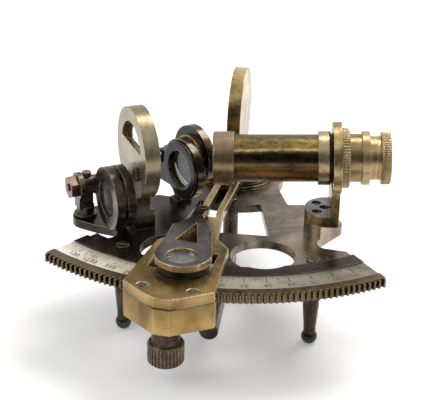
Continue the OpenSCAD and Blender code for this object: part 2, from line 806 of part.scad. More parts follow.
module bracket_screws() color(steel) foot_holes() {
    disc(foot_screw_r, web_bottom + 0.3, foot_top - foot_sink - web_bottom);
    slotted(foot_head_r, foot_top - foot_sink + seat, 0.9, slot_w);
}
module telescope_tube() color(patina) scope_axis() {
    half = carrier_t / 2;
    turned([
        [-tube_len, bore_r], [-tube_len, tube_r], [-belt_from - belt_len, tube_r],
        [-belt_from - belt_len, tube_r + belt_h], [-belt_from, tube_r + belt_h], [-belt_from, tube_r + 0.3],
        [-half - seat, tube_r + 0.3], [-half - seat, seat_tube_r], [draw_from - 0.2, seat_tube_r],
        [draw_from - 0.2, bore_r]
    ]);
}
module objective_ring() color(patina) scope_axis() {
    front = -tube_len + objective_lap - objective_len;
    turned([
        [front, lens_seat_r - objective_lip], [front, objective_r - 0.3], [front + 0.3, objective_r],
        [front + objective_len, objective_r], [front + objective_len, tube_r + seat],
        [-tube_len - 0.1, tube_r + seat], [-tube_len - 0.1, lens_seat_r],
        [front + objective_lip_t, lens_seat_r],
        [front + objective_lip_t, lens_seat_r - objective_lip]
    ]);
}
module objective_lens() color(glass) scope_axis() {
    from = -tube_len + objective_lap - objective_len + objective_lip_t + seat;
    intersection() {
        rod(lens_seat_r - run, from, from + objective_t);
        translate([from + objective_curve, 0, 0]) sphere(r = objective_curve, $fn = 96);
    }
}
module telescope_lock_ring() color(patina) scope_axis() {
    from = carrier_t / 2 + seat;
    difference() {
        turned([
            [from, seat_tube_r + seat], [from, lock_r - 0.3], [from + 0.3, lock_r],
            [from + lock_len - 0.3, lock_r], [from + lock_len, lock_r - 0.3],
            [from + lock_len, seat_tube_r + seat]
        ]);
        for (a = [0:6:354])
            rotate([a, 0, 0]) translate([0, 0, lock_r + 0.2]) rod(0.35, from - 1, from + lock_len + 1);
    }
}
module telescope_end_collar() color(patina) scope_axis() {
    from = draw_from - collar_len;
    turned([
        [from, seat_tube_r + seat], [from, seat_tube_r + collar_h], [draw_from, seat_tube_r + collar_h],
        [draw_from, draw_r + run], [draw_from - 0.15, draw_r + run], [draw_from - 0.15, seat_tube_r + seat]
    ]);
}
module draw_tube() color(patina) scope_axis() {
    inner = draw_r - draw_wall;
    turned([
        [draw_from - draw_inside, inner], [draw_from - draw_inside, draw_r],
        [eye_from + 1.8, draw_r], [eye_from + 1.8, inner]
    ]);
}
module eyepiece() color(patina) scope_axis() {
    to = eye_from + eye_len;
    difference() {
        turned([
            [eye_from, draw_r + seat], [eye_from, eye_r - 0.3], [eye_from + 0.3, eye_r], [to - 0.4, eye_r],
            [to, eye_r - 0.4], [to, eye_hole_r + 0.6], [to - 0.6, eye_hole_r], [eye_from + 1.9, eye_hole_r],
            [eye_from + 1.9, draw_r + seat]
        ]);
        for (a = [0:5:355]) rotate([a, 0, 0]) translate([0, 0, eye_r + 0.1]) rod(0.27, eye_from - 1, to + 1);
    }
}
module eye_lens() color(glass) scope_axis() rod(draw_r - draw_wall - run, eye_from + 0.2, eye_from + 1.7);

// Horizon mirror

module at_horizon() at_plan(horizon_x, horizon_y) rotate([0, 0, horizon_az]) children();
module horizon_foot(z, h) translate([-horizon_t / 2 - horizon_foot_len, -horizon_foot_w / 2, z])
    cube([horizon_t + horizon_foot_len, horizon_foot_w, h]);
module horizon_holes() for (side = [-1, 1])
    translate([-horizon_t / 2 + 0.6, side * horizon_screw_y, 0]) children();
module horizon_frame() color(pale) at_horizon() {
    difference() {
        union() {
            translate([0, 0, horizon_z]) rod(horizon_r, -horizon_t / 2, horizon_t / 2);
            translate([-horizon_t / 2, -horizon_foot_w / 2, boss_top + seat])
                cube([horizon_t, horizon_foot_w, horizon_z - horizon_r - boss_top + 3]);
            horizon_foot(boss_top + seat, horizon_foot_t);
        }
        intersection() {
            translate([0, 0, horizon_z]) rod(clear_r, -horizon_t, horizon_t);
            translate([-horizon_t, -clear_r, horizon_z + clear_z])
                cube([2 * horizon_t, 2 * clear_r, clear_r]);
        }
        translate([horizon_t / 2 - mirror_wall, 0, horizon_z]) rod(clear_r + mirror_ledge, -horizon_t, 0);
        horizon_holes() disc(foot_screw_r + seat, boss_top - 1, 3);
        translate([0, adjuster_y, horizon_z - adjuster_z])
            rod(adjuster_pin_r + seat, horizon_t / 2 - mirror_wall + 0.3, horizon_t);
    }
}
module horizon_mirror() color(glass) at_horizon()
    translate([horizon_t / 2 - mirror_wall - seat - mirror_t, 0, horizon_z])
        rod(clear_r + mirror_ledge - run, 0, mirror_t);
module horizon_screws() color(steel) at_horizon() horizon_holes()
    disc(foot_screw_r, web_bottom + 0.3, boss_top + 1.6 - web_bottom);
module horizon_adjuster() color(bronze) at_horizon() translate([0, adjuster_y, horizon_z - adjuster_z]) {
    rod(adjuster_pin_r, horizon_t / 2 - mirror_wall + 0.4, horizon_t / 2 + 0.5);
    difference() {
        rod(adjuster_r, horizon_t / 2 + seat, horizon_t / 2 + 1.1);
        for (a = [0:30:330]) rotate([a, 0, 0]) translate([0, 0, adjuster_r + 0.2]) rod(0.4, 0, horizon_t);
    }
}

// Shades: local X runs along the bolt, local Y from the bolt to the ring

module shade_ring(t, below = ear_r) {
    difference() {
        union() {
            translate([-t / 2, -0.9, -below]) cube([t, swing - ring_open, below]);
            translate([0, swing, 0]) rod(ring_r, -t / 2, t / 2);
            rod(ear_r, -t / 2, t / 2);
            translate([-t / 2, 0, -ear_r]) cube([t, swing - ring_open, 2 * ear_r]);
        }
        translate([0, swing, 0]) {
            rod(ring_open, -t, t);
            rod(ring_open + glass_ledge, -t, t / 2 - glass_back);
        }
        rod(bolt_r + run, -t, t);
    }
}
module shade_glass(t) translate([t / 2 - glass_back - seat - shade_t, swing, 0])
    rod(ring_open + glass_ledge - run, 0, shade_t);
module at_far() at_plan(far_bolt_x, far_bolt_y, far_bolt_z) rotate([0, 0, far_az]) children();
module at_near() at_plan(near_bolt_x, near_bolt_y, near_bolt_z) rotate([0, 0, near_az]) children();
module horizon_shade_outer() color(bronze) at_far() shade_ring(far_ring_t);
module horizon_shade_inner() color(bronze) at_far() translate([-far_pitch, 0, 0]) shade_ring(far_ring_t);
module horizon_glass_outer() color(smoke) at_far() shade_glass(far_ring_t);
module horizon_glass_inner() color(smoke) at_far() translate([-far_pitch, 0, 0]) shade_glass(far_ring_t);
module index_shade_outer() color(black) at_near() shade_ring(near_ring_t, tongue);
module shade_cell(r, t, slope) translate([near_ring_t / 2 + seat, swing, 0]) turned([
    [0, ring_open], [0, r], [t - slope, r], [t - 0.3 * slope, r - 0.3 * slope], [t, r - slope],
    [t, ring_open + 1.5 * slope], [t - 0.3 * slope, ring_open + 0.5 * slope], [t - slope, ring_open]
]);
module index_cell_outer() color(black) at_near() shade_cell(ring_r - bezel_step, bezel_t, 0.4);
module index_cell_inner() color(brass) at_raised() shade_cell(ring_open + cell_w, cell_h, 0.2);
module index_glass_outer() color(smoke) at_near() shade_glass(near_ring_t);
module at_raised() at_near() translate([-near_pitch, 0, 0]) rotate([raised, 0, 0]) children();
module index_shade_inner() color(black) at_raised() shade_ring(near_ring_t);
module index_glass_inner() color(smoke) at_raised() shade_glass(near_ring_t);

module at_far_stand() at_far() translate([stand_x, 0, -far_bolt_z]) children();
module horizon_shade_bracket() color(bronze) {
    difference() {
        union() {
            at_far() {
                rod(barrel_r, far_face, far_stop);
                rod(ear_collar_r, far_stop - 0.1, far_stop + ear_collar_t);
                translate([far_face + 0.6, -stand_half, -far_drop + 3])
                    cube([far_stop + ear_collar_t - far_face - 0.6, 2 * stand_half, far_drop - 3]);
            }
            at_far_stand() {
                disc(stand_foot_r, web_top + seat, 0.9);
                disc(stand_foot_r - 0.8, web_top + 0.5, 3);
                disc(stem_r, web_bottom + 0.4, web_t);
            }
        }
        at_far() rod(bolt_r + seat, -1, far_stop + ear_collar_t + 1);
        at_far() translate([stand_x - 0.6, 0, bolt_r]) disc(0.8 + seat, 0, barrel_r + 1);
    }
}
module horizon_shade_bolt() color(copper) at_far() {
    rod(bolt_r, -far_outer - 0.6, far_stop + ear_collar_t + nut_t + 0.6);
    rod(bolt_head_r, -far_outer - side_gap - bolt_head_t, -far_outer - side_gap);
}
module horizon_shade_nut() color(copper) at_far()
    translate([far_stop + ear_collar_t + seat, 0, 0]) rotate([0, 90, 0]) difference() {
        hex(nut_w, 0, nut_t);
        disc(bolt_r + seat, -1, nut_t + 2);
    }
module horizon_shade_stop() color(copper) at_far() translate([stand_x - 0.6, 0, 0]) {
    disc(0.8, bolt_r + 0.3, barrel_r);
    disc(stop_r, barrel_r + seat, stop_h);
}

module near_holes() {
    for (x = [near_back + 1.1, near_front - 0.9]) translate([x, (flange_from + flange_to) / 2, 0]) children();
}
module index_shade_bracket() color(bronze) at_near() {
    difference() {
        union() {
            rod(ear_r + 0.4, near_front, near_back);
            translate([near_front, 0, 0]) rotate([90, 0, 90]) linear_extrude(near_back - near_front) polygon([
                [-ear_r - 0.3, 0], [-ear_r + 0.6, -back_drop], [flange_from, -near_drop + 0.5],
                [flange_from, -near_drop + seat], [flange_to, -near_drop + seat],
                [flange_to, -near_drop + front_edge], [ear_r + 0.3, -near_drop + front_rise], [ear_r + 0.3, 0]
            ]);
            translate([near_front - flange_side, flange_from, -near_drop + seat])
                cube([near_back - near_front + 2 * flange_side, flange_to - flange_from, flange_t]);
        }
        rod(bolt_r + seat, near_front - 1, near_back + 1);
        near_holes() disc(foot_screw_r + seat, -near_drop - 1, flange_t + 2.6);
    }
}
module index_shade_bolt() color(copper) at_near() {
    rod(bolt_r, -near_outer - 0.7, near_ring_t / 2 + side_gap + 0.5);
    rod(bolt_head_r, near_ring_t / 2 + side_gap, near_ring_t / 2 + side_gap + bolt_head_t);
    translate([-near_outer - side_gap - bolt_head_t, 0, 0]) rotate([0, 90, 0])
        hex(3 * bolt_r, 0, bolt_head_t);
}
module index_shade_screws() color(steel) at_near() near_holes() {
    disc(foot_screw_r, -near_drop - web_t + 0.3, web_t + flange_t - 0.2);
    slotted(foot_screw_r, -near_drop + flange_t - 0.1, 0.3, 0.3);
}

// Index arm

function arm_side() = [
    [bar_half, -arm_hub_r + 2], [bar_half, -flare_y], [plate_half, -plate_y],
    [corner_half, -corner_y], [nose_half, -nose_y]
];
function slot_side() = [
    [bar_half - rail_w, -slot_from], [bar_half - rail_w, -flare_y],
    [bar_half - rail_w + (slot_to - flare_y) * 0.157, -slot_to]
];
function nose_points() = [[tip_half * 2.4, -tip_y + 2.2], [tip_half, -tip_y + 0.3]];
function lip_points() = concat([[nose_half * 0.995, -block_y], [nose_half, -nose_y]], nose_points());
module arm_screw_places() at_arm() for (side = [-1, 1])
    translate([side * plate_screw_x, -plate_screw_y, 0]) children();
module index_arm() color(brass) {
    difference() {
        at_arm() {
            disc(arm_hub_r, arm_z, arm_t);
            slab(
                concat(arm_side(), nose_points(), mirrored(nose_points()), mirrored(arm_side())),
                arm_z, arm_t
            );
            slab(concat(lip_points(), mirrored(lip_points())), block_top + seat, arm_z - block_top);
        }
        at_arm() {
            slab(concat(slot_side(), mirrored(slot_side())), arm_z - 1, arm_t + 2);
            translate([-pane_half, -pane_to, arm_z - 1])
                cube([2 * pane_half, pane_to - pane_from, arm_t + 2]);
            disc(pin_r + seat, arm_z - 1, arm_t + 2);
            disc(pin_r + pin_lip + seat, arm_top - 1, 2);
            at_loupe_pivot() disc(loupe_pin_r + run, arm_z - 1, arm_t + 2);
        }
        at_knob() disc(shaft_r + run, block_top - 1, 2.6);
        arm_screw_places() {
            disc(screw_r + seat, block_top - 1, arm_t + 2);
            disc(arm_head_r + seat, arm_top - 1, 2);
        }
        at_index() mirror_screw_places() disc(index_screw_r + seat, arm_z - 1, arm_t + 2);
    }
}
function block_side() = [[nose_half * 0.995, -block_y], [nose_half, -nose_y], [tip_half, -tip_y]];
function ledge_side() = [[nose_half * 0.8, -ledge_y], [nose_half * 0.8, -nose_y]];
module arm_block() color(brass) {
    difference() {
        at_arm() {
            slab(concat(block_side(), mirrored(block_side())), block_z, block_h);
            slab(concat(ledge_side(), mirrored(ledge_side())), block_z, ledge_top - block_z);
        }
        at_knob() {
            disc(pinion_pitch_r + 0.9, ledge_top, block_h);
            disc(shaft_r + run, block_z - 1, block_h);
        }
        arm_screw_places() disc(screw_r + seat, block_top - arm_screw_deep - 0.4, arm_screw_deep + 1);
    }
}
module arm_screws() color(bronze) arm_screw_places() {
    disc(screw_r, block_top - arm_screw_deep, arm_top - block_top + arm_screw_deep - 0.6);
    slotted(arm_head_r, arm_top - 1 + seat, 0.95, slot_w);
}
module vernier() color(silver) at_pivot() {
    half = asin((pane_half - 0.15) / vernier_out);
    difference() {
        rotate([0, 0, arm_rest]) intersection() {
            sector(vernier_out, vernier_out - vernier_w, arm_z - 0.1, 1.2, half);
            translate([-pane_half + seat, -pane_to, 0])
                cube([2 * (pane_half - seat), pane_to - pane_from, 2 * limb_top]);
        }
        for (k = [-5:5])
            rotate([0, 0, arm_rest + k * vernier_step])
                translate([-0.1, -vernier_out - 1, arm_z + 1.1 - line_deep]) cube([0.2, 2.6, 1]);
    }
}
module pivot_pin() color(steel) at_pivot() {
    disc(pin_r, pin_z, arm_top - 0.4 - pin_z);
    disc(pin_r + pin_lip, arm_top - 1 + seat, 0.9);
}
module pivot_nut() color(steel) at_pivot() {
    difference() {
        union() {
            disc(washer_r, web_bottom - 0.15 - washer_t, washer_t);
            hex(pivot_nut_w, web_bottom - 0.1 - washer_t - pivot_nut_t, pivot_nut_t);
        }
        disc(pin_r + seat, 0, 2 * limb_top);
    }
}
module at_index() at_pivot() rotate([0, 0, index_az]) children();
module mirror_screw_places() for (side = [-1, 1])
    translate([side * (index_t + index_foot_len) / 2, 0, 0]) children();
module index_mirror_frame() color(pale) at_index() {
    difference() {
        union() {
            translate([0, 0, index_z]) rod(index_r, -index_t / 2, index_t / 2);
            translate([-index_t / 2, -index_foot_half, arm_top + seat])
                cube([index_t, 2 * index_foot_half, index_z - index_r - arm_top + 4]);
            translate([-index_t / 2 - index_foot_len, -index_foot_half, arm_top + seat])
                cube([index_t + 2 * index_foot_len, 2 * index_foot_half, index_foot_t]);
        }
        translate([0, 0, index_z]) rod(index_glass_r + run, -index_t, -index_t / 2 + mirror_deep + mirror_t);
        mirror_screw_places() disc(index_screw_r + seat, arm_top - 1, index_foot_t + 2);
    }
}
module index_mirror() color(glass) at_index() translate([-index_t / 2 + mirror_deep - seat, 0, index_z])
    rod(index_glass_r, 0, mirror_t);
module index_mirror_screws() color(steel) at_index() mirror_screw_places() {
    disc(index_screw_r, arm_z + 0.3, arm_top - arm_z + index_foot_t);
    slotted(index_head_r, arm_top + index_foot_t + 2 * seat, 0.8, slot_w);
}

// Drive knob and pinion

function pinion_points() = [
    for (k = [0:pinion_teeth - 1])
        let (a = pinion_turn + k * 360 / pinion_teeth, root = 0.79 * gear_module, tip = 0.26 * gear_module)
        let (out = [-sin(a), cos(a)], side = [cos(a), sin(a)])
        each [
            out * (pinion_pitch_r - 0.82) + side * root, out * (pinion_pitch_r + 0.38) + side * tip,
            out * (pinion_pitch_r + 0.38) - side * tip, out * (pinion_pitch_r - 0.82) - side * root
        ]
];

module drive_knob() color(bronze) at_knob() {
    knob_r = knob_d / 2;
    top = knob_z + knob_h;
    difference() {
        translate([0, 0, knob_z]) rotate_extrude() polygon([
            [0, 0], [knob_r - 0.6, 0], [knob_r, 0.6],
            [knob_r, knob_h - 0.6], [knob_r - 0.6, knob_h], [0, knob_h]
        ]);
        for (k = [0:flutes - 1]) rotate([0, 0, k * 360 / flutes]) translate([knob_r + 0.05, 0, knob_z - 1])
            cylinder(r = 0.42, h = knob_h + 2);
    }
    disc(knob_neck_d / 2, top - 0.5, knob_neck_h + 0.5);
    disc(shaft_r, top, block_top + 1.3 - top);
}
module drive_pinion() color(steel) at_knob() {
    difference() {
        slab(pinion_points(), ledge_top + 0.2, block_top - ledge_top - 0.4);
        disc(shaft_r + seat, 0, 2 * limb_top);
    }
}

// Magnifier

module at_loupe_pivot() translate([loupe_pivot_x, -loupe_pivot_y, 0]) children();
module magnifier_post() color(bronze) at_arm() at_loupe_pivot() {
    disc(loupe_head_r + 0.2, arm_top + seat, lift - side_gap - seat);
    disc(loupe_pin_r, arm_z + 0.2, loupe_top - arm_z - 0.5);
    slotted(loupe_head_r, loupe_top - 0.9, 0.85, slot_w);
}
module loupe_plate() {
    difference() {
        union() {
            at_loupe_pivot() disc(2.5, loupe_z, loupe_t);
            translate([lens_x, loupe_back - lens_y, 0]) disc(loupe_r, loupe_z, loupe_t);
            slab([
                [loupe_pivot_x + 1.7, -loupe_pivot_y], [lens_x - 0.5, -lens_y + 27],
                [lens_x + 1.8, -lens_y + 23.3], [lens_x + 5, -lens_y + 17], [lens_x + 6.8, -lens_y + 9],
                [lens_x + loupe_r - 0.2, -lens_y + 3.2],
                [lens_x + 6, -lens_y], [lens_x - 6, -lens_y], [lens_x - loupe_r + 0.2, -lens_y + 3.2],
                [lens_x - 7.9, -lens_y + 9], [lens_x - 8, -lens_y + 19], [lens_x - 6.2, -lens_y + 21],
                [lens_x - 4.2, -lens_y + 25.2], [loupe_pivot_x - 1.7, -loupe_pivot_y]
            ], loupe_z, loupe_t);
        }
        slab([[lens_x - 1.1, -lens_y + 21.9], [lens_x - 4.5, -lens_y + 9.5], [lens_x + 2.5, -lens_y + 8.7]],
            loupe_z - 1, loupe_t + 2);
    }
}
module magnifier_frame() color(bronze) at_arm() {
    difference() {
        loupe_plate();
        at_loupe_pivot() {
            disc(loupe_pin_r + run, loupe_z - 1, loupe_t + 2);
            disc(loupe_head_r + run, loupe_top - 1, 2);
        }
        translate([lens_x, -lens_y, 0]) {
            disc(lens_open, loupe_z - 1, loupe_t + 2);
            disc(lens_open + lens_ledge, loupe_z - 1, loupe_t - 0.1);
        }
    }
}
module magnifier_cell() color(black) at_arm() translate([lens_x, -lens_y, 0]) {
    difference() {
        union() {
            translate([0, loupe_back, 0]) disc(cell_r, cell_z, loupe_z - cell_z - seat);
            disc(lens_open + lens_ledge + 0.6, cell_z, loupe_z - cell_z - seat);
        }
        disc(lens_open, cell_z - 1, loupe_z);
        disc(lens_open + lens_ledge, cell_z + cell_back, loupe_z);
    }
}
module magnifier_lens() color(glass) at_arm() translate([lens_x, -lens_y, 0])
    disc(lens_open + lens_ledge - run, cell_z + cell_back + seat,
        loupe_top - 1.1 - cell_z - cell_back - 2 * seat);

frame_plate();
arc_scale();
leg_front_left();
leg_front_right();
leg_rear();
leg_screws();
handle_bar();
handle_post();
telescope_bracket();
bracket_screws();
telescope_tube();
objective_ring();
objective_lens();
telescope_lock_ring();
telescope_end_collar();
horizon_frame();
horizon_mirror();
horizon_screws();
horizon_adjuster();
horizon_shade_bracket();
horizon_shade_bolt();
horizon_shade_nut();
horizon_shade_stop();
index_shade_bracket();
index_shade_bolt();
index_shade_screws();
index_arm();
arm_block();
arm_screws();
vernier();
pivot_pin();
pivot_nut();
index_mirror_frame();
index_mirror();
index_mirror_screws();
magnifier_post();
drive_knob();
drive_pinion();
magnifier_frame();
magnifier_cell();
magnifier_lens();
draw_tube();
eyepiece();
eye_lens();
horizon_shade_outer();
horizon_shade_inner();
horizon_glass_outer();
horizon_glass_inner();
index_shade_outer();
index_shade_inner();
index_glass_outer();
index_glass_inner();
index_cell_outer();
index_cell_inner();
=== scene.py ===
import json
import math
import bpy
from mathutils import Matrix, Vector


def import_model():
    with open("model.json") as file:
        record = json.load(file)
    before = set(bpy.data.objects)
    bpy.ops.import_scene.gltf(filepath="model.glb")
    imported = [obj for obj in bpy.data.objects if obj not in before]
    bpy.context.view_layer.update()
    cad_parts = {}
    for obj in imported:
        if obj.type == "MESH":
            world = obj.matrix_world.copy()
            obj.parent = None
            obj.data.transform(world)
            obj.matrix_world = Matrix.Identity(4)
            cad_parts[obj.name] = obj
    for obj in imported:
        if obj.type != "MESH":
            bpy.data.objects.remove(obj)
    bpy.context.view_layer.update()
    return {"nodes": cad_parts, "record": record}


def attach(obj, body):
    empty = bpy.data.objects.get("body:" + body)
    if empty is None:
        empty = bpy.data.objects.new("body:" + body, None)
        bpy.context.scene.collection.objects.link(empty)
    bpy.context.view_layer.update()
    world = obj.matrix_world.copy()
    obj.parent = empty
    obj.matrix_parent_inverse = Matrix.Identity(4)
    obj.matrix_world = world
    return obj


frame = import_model()
nodes = frame["nodes"]
scene = bpy.context.scene

# Lengths are in metres and angles in degrees, unless a name or comment says otherwise.
PIVOT_Y = 0.020                     # the index arm's axis; x = y = 0 is the rear foot
ARM_REST = -6.8                     # where the arm stands, from the arc's middle
SEAM = (0.0294, 0.00012)            # height where the arm meets its block, and half the dark line's width
SCALE_TOP = 0.02942                 # face of the silvered strip
SCOPE = (0.0343, -0.0174, 0.0539)   # the telescope's axis, in the middle of its carrying ring
SCOPE_AZ = 5.1
SCOPE_TILT = 1.9

SCALE_ZERO = 32.5                   # the scale's zero, from the arc's middle
NUMBER_COUNT = 14                   # 0 to 130 in tens
NUMBER_STEP = 5                     # the arc reads twice its angle, so ten on the scale take five degrees
NUMBER_AT = 0.0797                  # distance from the arm's axis
NUMBER_SIZE = 0.0026
ABOVE_SCALE = 0.00002               # how far the numbers lie above the strip

PHOTO_WIDTH = 430                   # pixels
FOCAL = 1300                        # the fitted camera's focal length, in the photo's pixels
SENSOR = 36                         # millimetres
CAMERA_AT = (0.038672, -0.389390, 0.215936)
CAMERA_TURN = (6.4623, 25.6054, 1.2001)   # azimuth, elevation and roll

X, Z = 0, 2                         # which output of split()
UP = (0, 0, 1)
COAT_ROUGH = 0.12


# ------------------------------------------------------------- node building

class Kit:
    """Adds nodes to one tree. A value may be a number, a colour or another node's output."""

    def __init__(self, tree):
        self.tree = tree
        tree.nodes.clear()

    def node(self, kind, **props):
        node = self.tree.nodes.new("ShaderNode" + kind)
        for key, value in props.items():
            setattr(node, key, value)
        return node

    def put(self, socket, value):
        if isinstance(value, bpy.types.NodeSocket):
            self.tree.links.new(value, socket)
        elif socket.type == "RGBA":
            socket.default_value = (*value, 1)
        else:
            socket.default_value = value

    def fill(self, node, *values):
        """Give a node its first inputs, in order, and return the node."""
        for socket, value in zip(node.inputs, values):
            self.put(socket, value)
        return node

    def math(self, op, a, b=0.0):
        return self.fill(self.node("Math", operation=op), a, b).outputs[0]

    def plus(self, a, b):
        return self.math("ADD", a, b)

    def minus(self, a, b):
        return self.math("SUBTRACT", a, b)

    def times(self, a, b):
        return self.math("MULTIPLY", a, b)

    def below(self, a, b):
        return self.math("LESS_THAN", a, b)

    def above(self, a, b):
        return self.math("GREATER_THAN", a, b)

    def most(self, a, b):
        return self.math("MAXIMUM", a, b)

    def off(self, value, centre):
        """How far a value is from a centre."""
        return self.math("ABSOLUTE", self.minus(value, centre))

    def blend(self, a, b, share):
        """Two numbers mixed, where share is how much of the second one is in."""
        return self.plus(self.times(a, 1.0 - share), self.times(b, share))

    def span(self, value, a, b, lo=0.0, hi=1.0, how="LINEAR"):
        """The stretch from a to b moved onto lo to hi, and held at both ends."""
        return self.fill(self.node("MapRange", interpolation_type=how), value, a, b, lo, hi).outputs[0]

    def split(self, vector):
        return self.fill(self.node("SeparateXYZ"), vector).outputs

    def join(self, x, y, z):
        return self.fill(self.node("CombineXYZ"), x, y, z).outputs[0]

    def dot(self, a, b):
        return self.fill(self.node("VectorMath", operation="DOT_PRODUCT"), a, b).outputs["Value"]

    def scaled(self, vector, factor):
        n = self.fill(self.node("VectorMath", operation="SCALE"), vector)
        self.put(n.inputs["Scale"], factor)
        return n.outputs[0]

    def seen(self):
        """1 on rays from the camera, straight or by way of a reflection or glass."""
        path = self.node("LightPath").outputs
        return self.most(path["Is Camera Ray"], self.most(path["Is Glossy Ray"], path["Is Transmission Ray"]))

    def pick(self, fac, a, b):
        return self.fill(self.node("MixShader"), fac, a.outputs[0], b.outputs[0]).outputs[0]


class Surface(Kit):
    """One procedural material. Noise scales are per metre."""

    INPUTS = {"color": "Base Color", "metal": "Metallic", "rough": "Roughness", "normal": "Normal",
              "coat": "Coat Weight", "coat_rough": "Coat Roughness", "through": "Transmission Weight",
              "ior": "IOR"}

    def __init__(self, name):
        self.mat = bpy.data.materials.new(name)
        self.mat.use_nodes = True
        super().__init__(self.mat.node_tree)
        self.out = self.node("OutputMaterial")
        self.bsdf = self.node("BsdfPrincipled")
        self.put(self.out.inputs[0], self.bsdf.outputs[0])
        self.co = self.node("TexCoord").outputs["Object"]

    def set(self, **values):
        for key, value in values.items():
            self.put(self.bsdf.inputs[self.INPUTS[key]], value)
        return self.mat

    def noise(self, scale, detail=4.0, rough=0.55, at=None, distort=0.0):
        n = self.node("TexNoise")
        self.put(n.inputs["Vector"], at or self.co)
        n.inputs["Scale"].default_value = scale
        n.inputs["Detail"].default_value = detail
        n.inputs["Roughness"].default_value = rough
        n.inputs["Distortion"].default_value = distort
        return n.outputs["Fac"]

    def ramp(self, fac, stops):
        n = self.node("ValToRGB")
        el = n.color_ramp.elements
        while len(el) < len(stops):
            el.new(0.5)
        for e, (pos, col) in zip(el, stops):
            e.position = pos
            e.color = (*col, 1) if isinstance(col, tuple) else (col, col, col, 1)
        self.put(n.inputs["Fac"], fac)
        return n.outputs["Color"]

    def two(self, fac, first, second):
        """Two colours over the range that most of a noise lies in."""
        return self.ramp(fac, [(0.3, first), (0.7, second)])

    def mix(self, fac, a, b, blend="MIX"):
        n = self.node("Mix", data_type="RGBA", blend_type=blend)
        for place, value in ((0, fac), (6, a), (7, b)):
            self.put(n.inputs[place], value)
        return n.outputs[2]

    def stretch(self, scale, turn):
        """Coordinates turned about Z and scaled, for streaks."""
        n = self.fill(self.node("Mapping"), self.co)
        n.inputs["Rotation"].default_value = (0, 0, math.radians(turn))
        n.inputs["Scale"].default_value = scale
        return n.outputs[0]

    def turned(self, vector, axis, angle):
        n = self.fill(self.node("VectorRotate", rotation_type=axis), vector)
        n.inputs["Angle"].default_value = math.radians(angle)
        return n.outputs[0]

    def along(self, axis):
        """How much a face looks along an axis, from 0 to 1."""
        return self.math("ABSOLUTE", self.dot(self.node("TexCoord").outputs["Normal"], axis))

    def round_edges(self, radius):
        n = self.node("Bevel", samples=4)
        n.inputs["Radius"].default_value = radius
        return n.outputs[0]

    def edge_wear_and_highlight(self, soft):
        """1 where an edge is, from how far the softened normal turns."""
        turn = self.dot(soft, self.node("NewGeometry").outputs["Normal"])
        return self.span(self.minus(1.0, turn), 0.02, 0.25)

    def rubbed_edges_and_highlight(self, soft, grain, least):
        """Edges of wear and painted highlight, broken up by noise; least is what stays in the gaps."""
        return self.times(self.edge_wear_and_highlight(soft), self.span(self.noise(grain, 3), 0.35, 0.6, least, 1.0))

    def bump(self, height, strength, depth, normal=None):
        n = self.node("Bump")
        n.inputs["Strength"].default_value = strength
        n.inputs["Distance"].default_value = depth
        self.put(n.inputs["Height"], height)
        if normal is not None:
            self.put(n.inputs["Normal"], normal)
        return n.outputs[0]

    def polar(self):
        """Distance from the index arm's axis in millimetres, and angle from the arc's middle."""
        x, y, _ = self.split(self.co)
        dy = self.minus(PIVOT_Y, y)
        r = self.math("SQRT", self.plus(self.times(x, x), self.times(dy, dy)))
        return self.times(r, 1000.0), self.times(self.math("ARCTAN2", x, dy), 180 / math.pi)


# ------------------------------------------------------------------ materials

def tinted(factor, tint):
    return tuple(factor * v for v in tint)


def aged(name, dark, mid, light, edge, rough=(0.2, 0.42), grain=140, contrast=0.16, coat=0.15, wear=0.8,
         edge_r=0.00035, streak=None, pits=0.25, bands=(), brightness_ramp=None, fine_grain=0.25, top=None, ragged=0.25,
         seam=None):
    """Old handled metal: mottled patina, edges that are partly wear and partly painted highlight, fine scratches
    and small pits.

    streak: scale along each axis and a turn, for patina drawn out in lines.
    bands: distances from the arm's axis, in millimetres, where a colour starts and is full, and the colour.
    brightness_ramp: axis, start and end of a stretch, and how much brighter the metal is at the start and at the
    end.
    top: a height, and the colour of the faces below it that look up.
    seam: height and half width of a dark line.
    """
    s = Surface(name)
    big = s.noise(grain, 5, 0.6, distort=0.6)
    small = s.noise(grain * 6, 3, 0.6)
    body = s.blend(big, small, fine_grain)
    if streak:
        body = s.blend(body, s.noise(1.0, 3, 0.6, at=s.stretch(*streak)), 0.4)
    col = s.ramp(body, [(0.5 - contrast, dark), (0.5, mid), (0.5 + contrast, light)])
    if brightness_ramp:
        axis, start, end, low, high = brightness_ramp
        drift = 0.3 * (end - start)
        place = s.plus(s.split(s.co)[axis], s.span(big, 0.3, 0.7, -drift, drift))
        col = s.scaled(col, s.span(place, start, end, low, high))
    if top:
        height, tint = top
        flat = s.times(s.span(s.along(UP), 0.85, 0.97), s.below(s.split(s.co)[Z], height))
        col = s.mix(flat, col, s.two(body, tinted(0.5, tint), tinted(1.4, tint)))
    if bands:
        out = s.polar()[0]
        for near, full, tint in bands:
            tone = s.two(body, tinted(0.6, tint), tinted(1.35, tint))
            col = s.mix(s.span(out, near, full), col, tone)
    specks = s.ramp(s.noise(2600, 2, 0.5), [(0.3, 0.55), (0.42, 1.0)])
    col = s.mix(pits, col, s.mix(1.0, col, specks, "MULTIPLY"))
    soft = s.round_edges(edge_r)
    # the edge colour is partly wear and partly a painted highlight along the edges
    col = s.mix(s.times(s.rubbed_edges_and_highlight(soft, grain * 2.5, ragged), wear), col, edge)
    if seam:
        height, half = seam
        col = s.mix(s.span(s.off(s.split(s.co)[Z], height), half, half * 2.2, 0.85, 0.0), col, dark)
    fine = s.noise(1.0, 2, 0.5, at=s.stretch((3500, 420, 3500), 20))
    normal = s.bump(s.plus(s.times(fine, 0.3), specks), 0.12, 0.00006, soft)
    return s.set(color=col, metal=0.9, rough=s.span(s.blend(small, fine, 0.4), 0.3, 0.7, *rough), coat=coat,
                 coat_rough=COAT_ROUGH, normal=normal)


